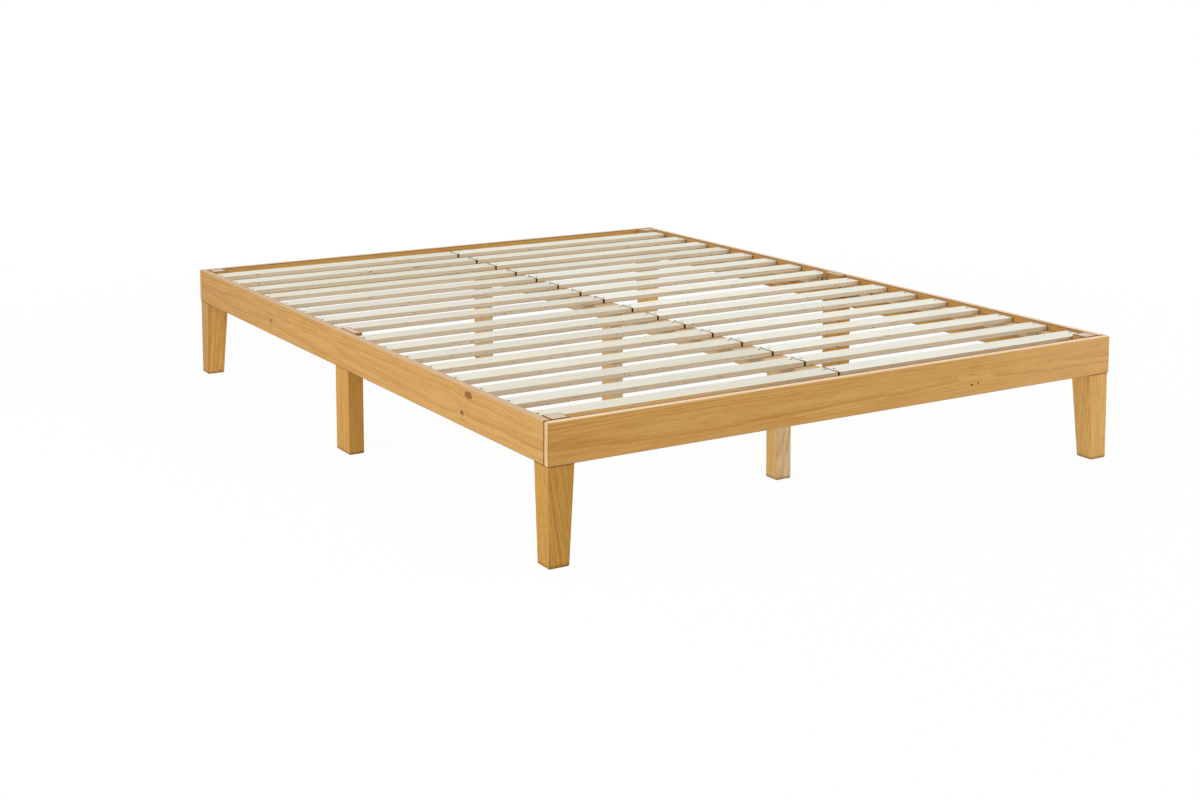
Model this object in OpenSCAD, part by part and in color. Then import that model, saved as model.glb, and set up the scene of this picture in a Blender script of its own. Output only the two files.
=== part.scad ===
// Wooden platform bed frame with slatted deck.
// Millimetres, +Z up. The origin is on the floor under the middle of the bed;
// X runs across the bed, +Y points to the head end.
// Most pieces are drawn once in the +X +Y quadrant and mirrored into place.

/* [Bed] */
// Overall width, over the side rails
bed_w = 1580; // [1300:10:2000]
// Overall length, over the foot and head rails
bed_l = 2090; // [1950:10:2300]
// Height of the rail tops above the floor
bed_h = 305; // [250:5:400]

/* [Rails] */
// Height of a rail board
rail_h = 92; // [85:1:120]
// Thickness of a rail board
rail_t = 19; // [18:0.5:26]
// Radius that eases the long edges of a rail
rail_round = 2; // [0.5:0.5:4]

/* [Corner legs] */
// Width of a corner leg under the rails
leg_top = 61; // [54:1:80]
// Width of a corner leg at the floor
leg_foot = 48; // [35:1:60]
// Step from a rail's outer face back to the leg's outer face
leg_inset = 2; // [1:0.5:6]
// Chamfer around the foot of every leg
foot_chamfer = 2; // [0.5:0.5:4]

/* [Side legs] */
// Thickness of a side leg, across the bed
side_leg_t = 40; // [36:0.5:50]
// Width of a side leg, along the bed
side_leg_w = 79; // [70:1:100]

/* [Centre legs] */
// Side of a square centre leg
centre_leg = 42; // [36:1:58]
// Outer end of the bed to the axis of the nearer centre leg
centre_leg_from_end = 290; // [200:5:500]

/* [Slats] */
// Slats between a corner leg and a side leg, on each side of the centre
slats_per_bay = 8; // [6:1:9]
// Width of a slat
slat_w = 58; // [45:1:70]
// Thickness of a slat
slat_t = 12; // [10:0.5:16]
// Drop from the rail tops to the slat tops
deck_drop = 6; // [5:0.5:12]
// Gap where two slats meet over the beam
slat_joint_gap = 4; // [1:0.5:8]
// Gap between a slat end and the side rail
slat_end_gap = 2; // [1:0.5:5]
// Gap between a corner leg's post and the nearest slat
slat_corner_gap = 2; // [1:0.5:10]
// Gap between a side leg's post and the nearest slat
slat_mid_gap = 5; // [3:1:25]

/* [Supports] */
// Thickness of a ledger, across the bed
ledger_t = 22; // [20:0.5:26]
// Height of a ledger
ledger_h = 25; // [22:0.5:32]
// Gap between a ledger's end and a leg's post
ledger_end_gap = 6; // [1:1:10]
// Width of the centre beam
beam_w = 62; // [58:1:80]
// Height of the centre beam
beam_h = 33; // [30:1:38]
// Thickness of a beam bracket's steel
bracket_t = 2.5; // [2:0.1:3]
// Width of a beam bracket
bracket_w = 50; // [40:1:56]
// Reach of a beam bracket's shelf under the beam
bracket_reach = 40; // [30:1:60]
// Rail's lower edge to the bottom of a beam bracket
bracket_margin = 5; // [3:1:8]

/* [Bolts] */
// Diameter of a rail bolt
bolt_d = 6; // [5:0.5:7]
// Diameter of a rail bolt's head
bolt_head_d = 10; // [9:0.5:12]
// Height of a rail bolt's head
bolt_head_h = 4; // [3:0.5:5]
// Width across the corners of a rail bolt's hexagon socket
bolt_socket_d = 4.6; // [3:0.2:6]
// Depth of a rail bolt's hexagon socket
bolt_socket_h = 2; // [1:0.5:2.5]
// Diameter of a washer
washer_d = 15; // [13:0.5:16]
// Thickness of a washer
washer_t = 1.5; // [1:0.1:2]
// Diameter of a threaded insert in a rail
insert_d = 9; // [8:0.5:10]
// Length of a threaded insert in a rail
insert_l = 12; // [9:0.5:14]
// Rail's lower edge to the lowest bolt
bolt_low = 16; // [14:1:18]
// Rise from one corner bolt to the next
bolt_step = 15; // [11:1:16]
// Edge of a post to the axis of a bolt in a corner leg
corner_bolt_edge = 12; // [10:0.5:14]
// Edge of a post to the axis of a bolt in a side leg
side_bolt_edge = 16; // [12:1:24]
// Top of a side leg's post to its upper bolt
side_bolt_drop = 18; // [16:1:26]
// Diameter of a centre leg's hanger bolt
hanger_d = 8; // [6:0.5:10]
// Length of a hanger bolt inside its leg
hanger_in_leg = 35; // [25:1:50]
// Outer diameter of a beam insert
beam_insert_d = 12; // [12:0.5:14]
// Length of a beam insert
beam_insert_l = 18; // [14:1:24]

/* [Screws] */
// Diameter of a slat screw
slat_screw_d = 3.5; // [3:0.5:4.5]
// Length of a slat screw
slat_screw_l = 30; // [24:1:32]
// Slat's end to the axis of its screw
slat_screw_inset = 12; // [9:0.5:14]
// Slat's centre line to its screw, towards the middle of the bed
slat_screw_shift = 6; // [0:1:15]
// Depth of a screw head below the timber around it
screw_sink = 0.5; // [0.2:0.1:1]
// Diameter of a ledger or bracket screw
fix_screw_d = 4; // [3.5:0.5:4.5]
// Length of a ledger screw
ledger_screw_l = 33; // [28:1:35]
// Ledger screws in each ledger
ledger_screws_per = 4; // [2:1:6]
// Length of a bracket screw
bracket_screw_l = 16; // [12:1:18]
// Spacing of the two screws in a bracket flange
bracket_screw_span = 30; // [20:1:34]

/* [Fits] */
// Clearance between two pieces that seat on each other
seat = 0.3; // [0.1:0.1:0.6]
// Radial clearance of a screw, bolt or insert in its hole
hole_gap = 0.2; // [0.1:0.1:0.5]

/* [Hidden] */
$fn = 48;
hex_sides = 6;
cut_over = 1;                                    // how far a cut runs past a face

rail_z = bed_h - rail_h;                         // underside of the rails
shoulder_z = rail_z - seat;                      // top of a leg under a rail
deck_z = bed_h - deck_drop;                      // top of the slats; posts rise to bed_h
bearer_z = deck_z - slat_t - seat;               // top of the ledgers and beam
rail_in_x = bed_w / 2 - rail_t;                  // inner face of a side rail
rail_in_y = bed_l / 2 - rail_t;                  // inner face of an end rail
leg_out_x = bed_w / 2 - leg_inset;
leg_out_y = bed_l / 2 - leg_inset;
post_in_x = leg_out_x - leg_top;                 // inner faces of a corner post
post_in_y = leg_out_y - leg_top;
post_out_x = rail_in_x - seat;                   // outer faces of a corner post
post_out_y = rail_in_y - seat;
side_post_in_x = leg_out_x - side_leg_t;         // inner face of a side leg
beam_bottom = bearer_z - beam_h;
beam_l = bed_l - 2 * rail_t - 2 * seat;
centre_leg_y = bed_l / 2 - centre_leg_from_end;
centre_leg_h = beam_bottom - seat;

// Slats: counted inwards from the corner leg to the side leg
slat_l = rail_in_x - slat_end_gap - slat_joint_gap / 2;
slat_first_y = post_in_y - slat_corner_gap - slat_w / 2;
slat_last_y = side_leg_w / 2 + slat_mid_gap + slat_w / 2;
slat_pitch = (slat_first_y - slat_last_y) / (slats_per_bay - 1);
slat_count = 2 * slats_per_bay;
function slat_y(k) = slat_first_y - k * slat_pitch;
function bay_of(i) = i <= slats_per_bay ? -1 : 1;
function place_in_bay(i) = i <= slats_per_bay ? i - 1 : slat_count - i;
slat_outer_screw_x = rail_in_x - slat_end_gap - slat_screw_inset;
slat_inner_screw_x = slat_joint_gap / 2 + slat_screw_inset;

// Ledgers
ledger_in_x = rail_in_x - seat - ledger_t;
ledger_z = bearer_z - ledger_h;
ledger_y0 = side_leg_w / 2 + ledger_end_gap;
ledger_y1 = post_in_y - ledger_end_gap;
function ledger_screw_y(j) = slat_y((2 * j + 1) * (slats_per_bay - 1) / (2 * ledger_screws_per));

// Bolts
bolt_hole_d = bolt_d + 2 * hole_gap;
insert_hole_d = insert_d + 2 * hole_gap;
bolt_bite = insert_l - cut_over;                 // thread of a bolt inside its insert
corner_bolt_x = post_in_x + corner_bolt_edge;    // bolts that run along Y
corner_bolt_y = post_in_y + corner_bolt_edge;    // bolts that run along X
corner_bolt_l = post_out_x - post_in_x + seat + bolt_bite + washer_t;
side_bolt_l = post_out_x - side_post_in_x + seat + bolt_bite + washer_t;
side_bolt_y = side_leg_w / 2 - side_bolt_edge;
x_bolt_z = [rail_z + bolt_low, rail_z + bolt_low + 2 * bolt_step];
y_bolt_z = [rail_z + bolt_low + bolt_step, rail_z + bolt_low + 3 * bolt_step];
side_bolt_z = [rail_z + bolt_low, bed_h - side_bolt_drop];
hanger_in_beam = beam_insert_l - cut_over;
centre_leg_places = [-centre_leg_y, 0, centre_leg_y];

// Brackets
shelf_top = beam_bottom - seat;
bracket_foot = rail_z + bracket_margin;
bracket_y = rail_in_y - seat;                    // back of a bracket's flange
flange_screw_z = (shelf_top - bracket_t + bracket_foot) / 2;
shelf_screw_y = bracket_y - bracket_reach * 0.6;

ENDS = ["foot", "head"];
SIDES = ["left", "right"];
CENTRE_LEGS = ["centre_leg_foot", "centre_leg_middle", "centre_leg_head"];
function sign_of(i) = 2 * i - 1;
function two_digits(i) = str(i < 10 ? "0" : "", i);
function leg_name(s, e) = str(SIDES[s], "_", ENDS[e], "_leg");
function ledger_name(s, e) = str(SIDES[s], "_", ENDS[e], "_ledger");
function slat_name(s, i) = str(SIDES[s], "_slat_", two_digits(i));

// ---- Placing -------------------------------------------------------------

// Mirrors a piece drawn in the +X +Y quadrant to the side sx and the end sy
module quadrant(sx, sy) {
    mirror([sx < 0 ? 1 : 0, 0, 0])
        mirror([0, sy < 0 ? 1 : 0, 0])
            children();
}

module in_all_quadrants() {
    for (sx = [-1, 1], sy = [-1, 1])
        quadrant(sx, sy) children();
}

// Turns hardware whose shank points down so that the shank points along +X, +Y or +Z
module point_x() { rotate([0, -90, 0]) children(); }
module point_y() { rotate([90, 0, 0]) children(); }
module point_up() { rotate([180, 0, 0]) children(); }

// ---- Timber shapes ---------------------------------------------------------

// A board's section with eased corners, centred
module eased_section(w, h, r) {
    square([w, h - 2 * r], center = true);
    square([w - 2 * r, h], center = true);
    for (sx = [-1, 1], sy = [-1, 1])
        translate([sx * (w / 2 - r), sy * (h / 2 - r)]) circle(r);
}

// Side view of a leg with a flat top: plumb outer face, chamfered foot
module leg_view(outer, w, h) {
    polygon([
        [outer - foot_chamfer, 0],
        [outer, foot_chamfer],
        [outer, h],
        [outer - w, h],
        [outer - w, foot_chamfer],
        [outer - w + foot_chamfer, 0]
    ]);
}

// Side view of a leg that steps in at the shoulder to carry a post up to the rail tops;
// its inner face tapers from top at the shoulder to foot at the floor
module post_leg_view(outer, top, foot, post_out) {
    lean = (top - foot) * foot_chamfer / shoulder_z;
    polygon([
        [outer - foot_chamfer, 0],
        [outer, foot_chamfer],
        [outer, shoulder_z],
        [post_out, shoulder_z],
        [post_out, bed_h],
        [outer - top, bed_h],
        [outer - top, shoulder_z],
        [outer - foot - lean, foot_chamfer],
        [outer - foot + foot_chamfer, 0]
    ]);
}

// What two side views share, seen along Y and along X; outer = [x, y] are the outer faces, w = [x, y] the widths
module crossed_views(outer, w) {
    intersection() {
        translate([0, outer[1] + cut_over, 0])
            rotate([90, 0, 0])
                linear_extrude(w[1] + 2 * cut_over) children(0);
        translate([outer[0] - w[0] - cut_over, 0, 0])
            rotate([90, 0, 90])
                linear_extrude(w[0] + 2 * cut_over) children(1);
    }
}

// ---- Hardware shapes: heads up, shanks down, seat of the head at z = 0 ------

module hex_bolt(l) {
    difference() {
        union() {
            cylinder(d = bolt_head_d, h = bolt_head_h);
            translate([0, 0, -l]) cylinder(d = bolt_d, h = l);
        }
        translate([0, 0, bolt_head_h - bolt_socket_h])
            cylinder(d = bolt_socket_d, h = bolt_socket_h + cut_over, $fn = hex_sides);
    }
}

// Hole for a bolt through a post of thickness l, from its head side
module bolt_hole(l) {
    translate([0, 0, -l - cut_over]) cylinder(d = bolt_hole_d, h = l + 2 * cut_over);
}

module washer() {
    difference() {
        cylinder(d = washer_d, h = washer_t);
        translate([0, 0, -cut_over]) cylinder(d = bolt_hole_d, h = washer_t + 2 * cut_over);
    }
}

// Threaded sleeve, mouth at z = 0
module insert(d, bore, l) {
    translate([0, 0, -l])
        difference() {
            cylinder(d = d, h = l);
            translate([0, 0, -cut_over]) cylinder(d = bore, h = l + 2 * cut_over);
        }
}

module insert_hole(d, l) {
    translate([0, 0, -l - hole_gap]) cylinder(d = d + 2 * hole_gap, h = l + hole_gap + cut_over);
}

// Countersunk screw, top of the head at z = 0; the head is twice the shank's diameter
module wood_screw(d, l) {
    translate([0, 0, -d / 2]) cylinder(d1 = d, d2 = 2 * d, h = d / 2);
    translate([0, 0, -l]) cylinder(d = d, h = l - d / 2);
}

module screw_hole(d, l) {
    wide = d + 2 * hole_gap;
    translate([0, 0, -d / 2]) cylinder(d1 = wide, d2 = wide + d, h = d / 2);
    cylinder(d = wide + d, h = screw_sink + cut_over);
    translate([0, 0, -l - hole_gap]) cylinder(d = wide, h = l + hole_gap);
}

// ---- Where the hardware sits (one quadrant) --------------------------------

module at_x_bolts() {
    for (z = x_bolt_z)
        translate([post_in_x, corner_bolt_y, z]) point_x() children();
}

module at_y_bolts() {
    for (z = y_bolt_z)
        translate([corner_bolt_x, post_in_y, z]) point_y() children();
}

// Both bolts of a side leg: the upper one on the head side, the lower one on the foot side
module at_side_bolts() {
    for (j = [0, 1])
        translate([side_post_in_x, sign_of(j) * side_bolt_y, side_bolt_z[j]]) point_x() children();
}

// Mouths of the inserts in the side rail, then those in the end rail
module at_side_rail_inserts() {
    for (z = x_bolt_z)
        translate([rail_in_x, corner_bolt_y, z]) point_x() children();
}

module at_side_leg_inserts() {
    for (j = [0, 1])
        translate([rail_in_x, sign_of(j) * side_bolt_y, side_bolt_z[j]]) point_x() children();
}

module at_end_rail_inserts() {
    for (z = y_bolt_z)
        translate([corner_bolt_x, rail_in_y, z]) point_y() children();
}

module at_slat_screws(x, k) {
    translate([x, slat_y(k) - slat_screw_shift, deck_z - screw_sink]) children();
}

module at_ledger_screws() {
    for (j = [0 : ledger_screws_per - 1])
        translate([ledger_in_x + screw_sink, ledger_screw_y(j), ledger_z + ledger_h / 2])
            point_x() children();
}

module at_flange_screws() {
    for (sx = [-1, 1])
        translate([sx * bracket_screw_span / 2, bracket_y - bracket_t, flange_screw_z])
            point_y() children();
}

module at_shelf_screws() {
    for (sx = [-1, 1])
        translate([sx * bracket_screw_span / 2, shelf_screw_y, shelf_top - bracket_t])
            point_up() children();
}

// ---- Sub-parts --------------------------------------------------------------

// End rail at the end sy: a full-width board that caps the side rails
module end_rail(sy) {
    color("#c8924c")
    difference() {
        translate([-bed_w / 2, sy * (bed_l / 2 - rail_t / 2), rail_z + rail_h / 2])
            rotate([90, 0, 90])
                linear_extrude(bed_w) eased_section(rail_t, rail_h, rail_round);
        for (sx = [-1, 1])
            quadrant(sx, sy) at_end_rail_inserts() insert_hole(insert_d, insert_l);
        quadrant(1, sy) at_flange_screws() screw_hole(fix_screw_d, bracket_screw_l);
    }
}

module side_rail(sx) {
    color("#d09a5c")
    difference() {
        translate([sx * (bed_w / 2 - rail_t / 2), rail_in_y - seat, rail_z + rail_h / 2])
            rotate([90, 0, 0])
                linear_extrude(2 * (rail_in_y - seat)) eased_section(rail_t, rail_h, rail_round);
        for (sy = [-1, 1])
            quadrant(sx, sy) {
                at_side_rail_inserts() insert_hole(insert_d, insert_l);
                at_ledger_screws() screw_hole(fix_screw_d, ledger_screw_l);
            }
        quadrant(sx, 1) at_side_leg_inserts() insert_hole(insert_d, insert_l);
    }
}

// Corner leg: tapered below the rails, with a square post notched up inside the corner
module corner_leg(sx, sy) {
    color("#cd934a")
    quadrant(sx, sy)
    difference() {
        crossed_views([leg_out_x, leg_out_y], [leg_top, leg_top]) {
            post_leg_view(leg_out_x, leg_top, leg_foot, post_out_x);
            post_leg_view(leg_out_y, leg_top, leg_foot, post_out_y);
        }
        at_x_bolts() bolt_hole(post_out_x - post_in_x);
        at_y_bolts() bolt_hole(post_out_y - post_in_y);
    }
}

// Side leg: straight, half under the rail and half up its inner face
module side_leg(sx) {
    color("#cd934a")
    quadrant(sx, 1)
    difference() {
        crossed_views([leg_out_x, side_leg_w / 2], [side_leg_t, side_leg_w]) {
            post_leg_view(leg_out_x, side_leg_t, side_leg_t, post_out_x);
            leg_view(side_leg_w / 2, side_leg_w, bed_h);
        }
        at_side_bolts() bolt_hole(post_out_x - side_post_in_x);
    }
}

module centre_leg_at(y) {
    color("#d39c57")
    translate([0, y, 0])
        difference() {
            crossed_views([centre_leg / 2, centre_leg / 2], [centre_leg, centre_leg]) {
                leg_view(centre_leg / 2, centre_leg, centre_leg_h);
                leg_view(centre_leg / 2, centre_leg, centre_leg_h);
            }
            translate([0, 0, centre_leg_h - hanger_in_leg - hole_gap])
                cylinder(d = hanger_d + 2 * hole_gap, h = hanger_in_leg + hole_gap + cut_over);
        }
}

module centre_beam() {
    color("#dcb98c")
    difference() {
        translate([-beam_w / 2, -beam_l / 2, beam_bottom]) cube([beam_w, beam_l, beam_h]);
        in_all_quadrants()
            for (k = [0 : slats_per_bay - 1])
                at_slat_screws(slat_inner_screw_x, k) screw_hole(slat_screw_d, slat_screw_l);
        for (sy = [-1, 1])
            quadrant(1, sy) at_shelf_screws() screw_hole(fix_screw_d, bracket_screw_l);
        for (y = centre_leg_places)
            translate([0, y, beam_bottom]) point_up() insert_hole(beam_insert_d, beam_insert_l);
    }
}

// Strip screwed along the side rail, under the slat ends
module ledger(sx, sy) {
    color("#e3c9a6")
    quadrant(sx, sy)
    difference() {
        translate([ledger_in_x, ledger_y0, ledger_z])
            cube([ledger_t, ledger_y1 - ledger_y0, ledger_h]);
        at_ledger_screws() screw_hole(fix_screw_d, ledger_screw_l);
        for (k = [0 : slats_per_bay - 1])
            at_slat_screws(slat_outer_screw_x, k) screw_hole(slat_screw_d, slat_screw_l);
    }
}

// Slat i, counted from the foot, on the side sx
module slat(sx, i) {
    k = place_in_bay(i);
    color("#ebe4d3")
    quadrant(sx, bay_of(i))
    difference() {
        translate([slat_joint_gap / 2, slat_y(k) - slat_w / 2, deck_z - slat_t])
            cube([slat_l, slat_w, slat_t]);
        for (x = [slat_inner_screw_x, slat_outer_screw_x])
            at_slat_screws(x, k) screw_hole(slat_screw_d, slat_screw_l);
    }
}

// Steel angle under each end of the beam
module beam_brackets() {
    color("#8f9298")
    for (sy = [-1, 1])
        quadrant(1, sy)
        difference() {
            union() {
                translate([-bracket_w / 2, bracket_y - bracket_t, bracket_foot])
                    cube([bracket_w, bracket_t, shelf_top - bracket_foot]);
                translate([-bracket_w / 2, bracket_y - bracket_reach, shelf_top - bracket_t])
                    cube([bracket_w, bracket_reach, bracket_t]);
            }
            at_flange_screws() screw_hole(fix_screw_d, bracket_screw_l);
            at_shelf_screws() screw_hole(fix_screw_d, bracket_screw_l);
        }
}

module corner_bolts() {
    color("#a9acb0")
    in_all_quadrants() {
        at_x_bolts() translate([0, 0, washer_t]) hex_bolt(corner_bolt_l);
        at_y_bolts() translate([0, 0, washer_t]) hex_bolt(corner_bolt_l);
    }
}

module side_leg_bolts() {
    color("#a9acb0")
    for (sx = [-1, 1])
        quadrant(sx, 1) at_side_bolts() translate([0, 0, washer_t]) hex_bolt(side_bolt_l);
}

module bolt_washers() {
    color("#c2c4c7")
    for (sx = [-1, 1]) {
        for (sy = [-1, 1])
            quadrant(sx, sy) {
                at_x_bolts() washer();
                at_y_bolts() washer();
            }
        quadrant(sx, 1) at_side_bolts() washer();
    }
}

module rail_inserts() {
    color("#b8a06a")
    for (sx = [-1, 1]) {
        for (sy = [-1, 1])
            quadrant(sx, sy) {
                at_side_rail_inserts() insert(insert_d, bolt_hole_d, insert_l);
                at_end_rail_inserts() insert(insert_d, bolt_hole_d, insert_l);
            }
        quadrant(sx, 1) at_side_leg_inserts() insert(insert_d, bolt_hole_d, insert_l);
    }
}

module centre_leg_bolts() {
    color("#a9acb0")
    for (y = centre_leg_places)
        translate([0, y, centre_leg_h - hanger_in_leg])
            cylinder(d = hanger_d, h = hanger_in_leg + seat + hanger_in_beam);
}

module beam_inserts() {
    color("#b8a06a")
    for (y = centre_leg_places)
        translate([0, y, beam_bottom])
            point_up() insert(beam_insert_d, hanger_d + 2 * hole_gap, beam_insert_l);
}

module slat_screws() {
    color("#4a4640")
    in_all_quadrants()
        for (k = [0 : slats_per_bay - 1], x = [slat_inner_screw_x, slat_outer_screw_x])
            at_slat_screws(x, k) wood_screw(slat_screw_d, slat_screw_l);
}

module ledger_screws() {
    color("#4a4640")
    in_all_quadrants() at_ledger_screws() wood_screw(fix_screw_d, ledger_screw_l);
}

module bracket_screws() {
    color("#4a4640")
    for (sy = [-1, 1])
        quadrant(1, sy) {
            at_flange_screws() wood_screw(fix_screw_d, bracket_screw_l);
            at_shelf_screws() wood_screw(fix_screw_d, bracket_screw_l);
        }
}

// ---- The assembly -----------------------------------------------------------

end_rail(-1);  // foot_rail
end_rail(1);  // head_rail
for (s = [0, 1])
    side_rail(sign_of(s));
for (s = [0, 1], e = [0, 1])
    corner_leg(sign_of(s), sign_of(e));
for (s = [0, 1])
    side_leg(sign_of(s));
for (i = [0 : len(CENTRE_LEGS) - 1])
    centre_leg_at(centre_leg_places[i]);
centre_beam();
for (s = [0, 1], e = [0, 1])
    ledger(sign_of(s), sign_of(e));
for (s = [0, 1], i = [1 : slat_count])
    slat(sign_of(s), i);
beam_brackets();
corner_bolts();
side_leg_bolts();
bolt_washers();
rail_inserts();
centre_leg_bolts();
beam_inserts();
slat_screws();
ledger_screws();
bracket_screws();
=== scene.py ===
import math
import zlib
from functools import reduce

import bpy
import numpy as np
from bpy.props import FloatProperty, FloatVectorProperty, PointerProperty
from mathutils import Euler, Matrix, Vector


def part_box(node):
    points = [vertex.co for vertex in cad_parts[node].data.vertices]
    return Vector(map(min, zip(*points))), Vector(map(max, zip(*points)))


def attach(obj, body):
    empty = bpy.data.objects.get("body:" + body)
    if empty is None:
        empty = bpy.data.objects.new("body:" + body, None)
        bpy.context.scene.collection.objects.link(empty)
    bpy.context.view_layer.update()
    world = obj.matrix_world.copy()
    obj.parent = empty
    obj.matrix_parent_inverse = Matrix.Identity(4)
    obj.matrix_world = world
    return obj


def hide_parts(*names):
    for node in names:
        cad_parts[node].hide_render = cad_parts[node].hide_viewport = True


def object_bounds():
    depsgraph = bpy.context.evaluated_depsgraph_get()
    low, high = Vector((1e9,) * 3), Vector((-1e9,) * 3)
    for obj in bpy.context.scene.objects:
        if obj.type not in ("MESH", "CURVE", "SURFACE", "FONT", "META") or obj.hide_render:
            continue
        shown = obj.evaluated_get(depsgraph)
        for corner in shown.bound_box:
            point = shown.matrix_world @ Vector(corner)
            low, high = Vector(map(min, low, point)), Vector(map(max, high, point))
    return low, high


bl_info = {
    "name": "Slatted Bed Frame",
    "version": (1, 0, 0),
    "blender": (4, 5, 0),
    "location": "3D View > Sidebar > Bed Frame",
    "description": "Dresses a platform bed frame: eased timber, slats, fittings, finishes and a studio",
    "category": "Add Mesh",
}

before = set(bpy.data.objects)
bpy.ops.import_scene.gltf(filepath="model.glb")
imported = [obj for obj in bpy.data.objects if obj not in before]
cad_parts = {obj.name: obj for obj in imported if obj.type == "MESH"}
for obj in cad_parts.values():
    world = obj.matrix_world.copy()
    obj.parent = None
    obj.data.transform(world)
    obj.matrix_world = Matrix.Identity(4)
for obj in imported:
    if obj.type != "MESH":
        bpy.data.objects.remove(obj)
CAD_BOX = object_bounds()
BODY = "root"
MM = 0.001


# ---- Sizes and colours that a user may change ----


def length(name, description, millimetres):
    """A length in metres, given here in millimetres."""
    return FloatProperty(name=name, description=description, default=millimetres * MM,
                         min=0.0, precision=5, subtype="DISTANCE", unit="LENGTH")


def colour(name, description, value):
    """A linear colour."""
    return FloatVectorProperty(name=name, description=description, default=value,
                               size=3, min=0.0, max=1.0, subtype="COLOR")


def share(name, description, value, top=1.0):
    """A plain number from 0 up."""
    return FloatProperty(name=name, description=description, default=value,
                         min=0.0, max=top, subtype="FACTOR" if top == 1.0 else "NONE")


class BEDFRAME_PG_timber(bpy.types.PropertyGroup):
    """How far each kind of board is eased, and the sizes its box doesn't tell"""

    rail_arris: length("Rail arris", "Radius along a rail's long edges", 2.4)
    rail_end: length("Rail end arris", "Radius around a rail's ends", 1.4)
    leg_arris: length("Leg arris", "Radius of a leg's upright edges", 1.6)
    post_arris: length("Post arris", "Radius around the top of a post", 1.8)
    shoulder_arris: length("Shoulder arris", "Radius around a leg's shoulder under the rails", 0.9)
    leg_foot: length("Leg foot", "Width of a corner leg at the floor", 48.0)
    foot_chamfer: length("Foot chamfer", "Chamfer around the foot of a leg", 2.0)
    seat: length("Seat", "Clearance between a rail and the leg it stands on", 0.3)
    slat_arris: length("Slat arris", "Radius along a slat's long edges", 0.9)
    slat_end: length("Slat end arris", "Radius around a slat's ends", 1.6)
    bearer_arris: length("Bearer arris", "Radius along the edges of the beam and ledgers", 1.4)
    screw_clearance: length("Screw clearance", "Gap around a sunk screw head", 0.15)
    screw_sink: length("Screw sink", "Depth of a screw head below the timber", 0.5)


class BEDFRAME_PG_finish(bpy.types.PropertyGroup):
    """Colours of the timbers and metals"""

    stain_light: colour("Stain, early wood", "Stained pine between the ring lines", (0.648, 0.366, 0.108))
    stain_dark: colour("Stain, late wood", "Stained pine in the ring lines", (0.488, 0.239, 0.053))
    # the stain's edge colour is stain rubbed thin together with a painted highlight, and on the rails' tops a
    # painted sheen
    stain_wear_and_highlight: colour("Stain, worn arris", "Where an edge has rubbed the stain thin", (0.800, 0.560, 0.350))
    post_top: colour("Post top", "End grain on top of a leg's post", (0.650, 0.500, 0.380))
    slat_light: colour("Slat, early wood", "Planed pale pine between the ring lines", (0.785, 0.765, 0.672))
    slat_dark: colour("Slat, late wood", "Planed pale pine in the ring lines", (0.680, 0.645, 0.520))
    # the sawn sides' tan is partly the sawn wood and partly painted shade and warm bounce light
    slat_sawn_and_shaded: colour("Slat, sawn edge", "Sawn sides of the slats", (0.715, 0.590, 0.415))
    # painted reflection: the foot rail's orange light on the left end of the first slat's sides
    slat_rail_reflection: colour("Slat, brown edge", "Left end of the first slat's sides", (0.900, 0.620, 0.250))
    bearer_light: colour("Bearer, early wood", "Beam and ledgers between ring lines", (0.700, 0.500, 0.280))
    bearer_dark: colour("Bearer, late wood", "Beam and ledgers in the ring lines", (0.520, 0.320, 0.140))
    knot: colour("Knot", "Heart of a knot", (0.245, 0.092, 0.018))
    bolt: colour("Bolt steel", "Plated bolts and washers", (0.300, 0.285, 0.260))
    bracket: colour("Bracket steel", "Pressed steel angles", (0.360, 0.362, 0.365))
    insert: colour("Insert zinc", "Threaded sleeves", (0.560, 0.500, 0.360))
    screw: colour("Screw steel", "Dark screws", (0.016, 0.012, 0.009))


class BEDFRAME_PG_studio(bpy.types.PropertyGroup):
    """Camera, lamps and floor"""

    place: FloatVectorProperty(name="Camera place", description="Where the camera stands",
                               default=(-2.5684, -4.2036, 1.2516), size=3, subtype="XYZ", unit="LENGTH")
    tilt: FloatProperty(name="Camera tilt", description="How far the camera looks down",
                        default=math.radians(6.31), subtype="ANGLE", unit="ROTATION")
    heading: FloatProperty(name="Camera heading", description="Turn to the right from straight along the bed",
                           default=math.radians(32.01), subtype="ANGLE", unit="ROTATION")
    lens: FloatProperty(name="Lens", description="Focal length", default=55.50, min=10.0,
                        unit="CAMERA")
    shift: FloatVectorProperty(name="Shift", size=2, default=(-0.0258, -0.2068),
                               description="Shift of the lens, as shares of the picture's width")
    key: share("Key lamp", "Strength of the large lamp over the bed's left", 0.34, 10.0)
    fill: share("Fill lamp", "Strength of the lamp over the camera's right", 0.78, 10.0)
    sky: share("Surround", "Strength of the white surround on the object", 0.70, 5.0)
    floor_glow: share("Floor glow", "How much of the floor under the bed is plain white to the camera", 0.95)


class BEDFRAME_PG_all(bpy.types.PropertyGroup):
    """Everything of the bed frame that can be changed"""

    timber: PointerProperty(type=BEDFRAME_PG_timber)
    finish: PointerProperty(type=BEDFRAME_PG_finish)
    studio: PointerProperty(type=BEDFRAME_PG_studio)


def timber():
    return bpy.context.scene.bed_frame.timber


def finish():
    return bpy.context.scene.bed_frame.finish


# ---- Boards: a rounded section carried along a line ----

AXES = {"+x": (1, 0, 0), "-x": (-1, 0, 0), "+y": (0, 1, 0), "-y": (0, -1, 0), "+z": (0, 0, 1)}
ARC = 4              # pieces in each quarter round along a board
EASE_STEPS = 3       # and in each round at its ends
HOLE_SIDES = 16      # sides of a screw hole
HOLE_RIM = 0.1 * MM  # width and depth of the easing around it


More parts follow.
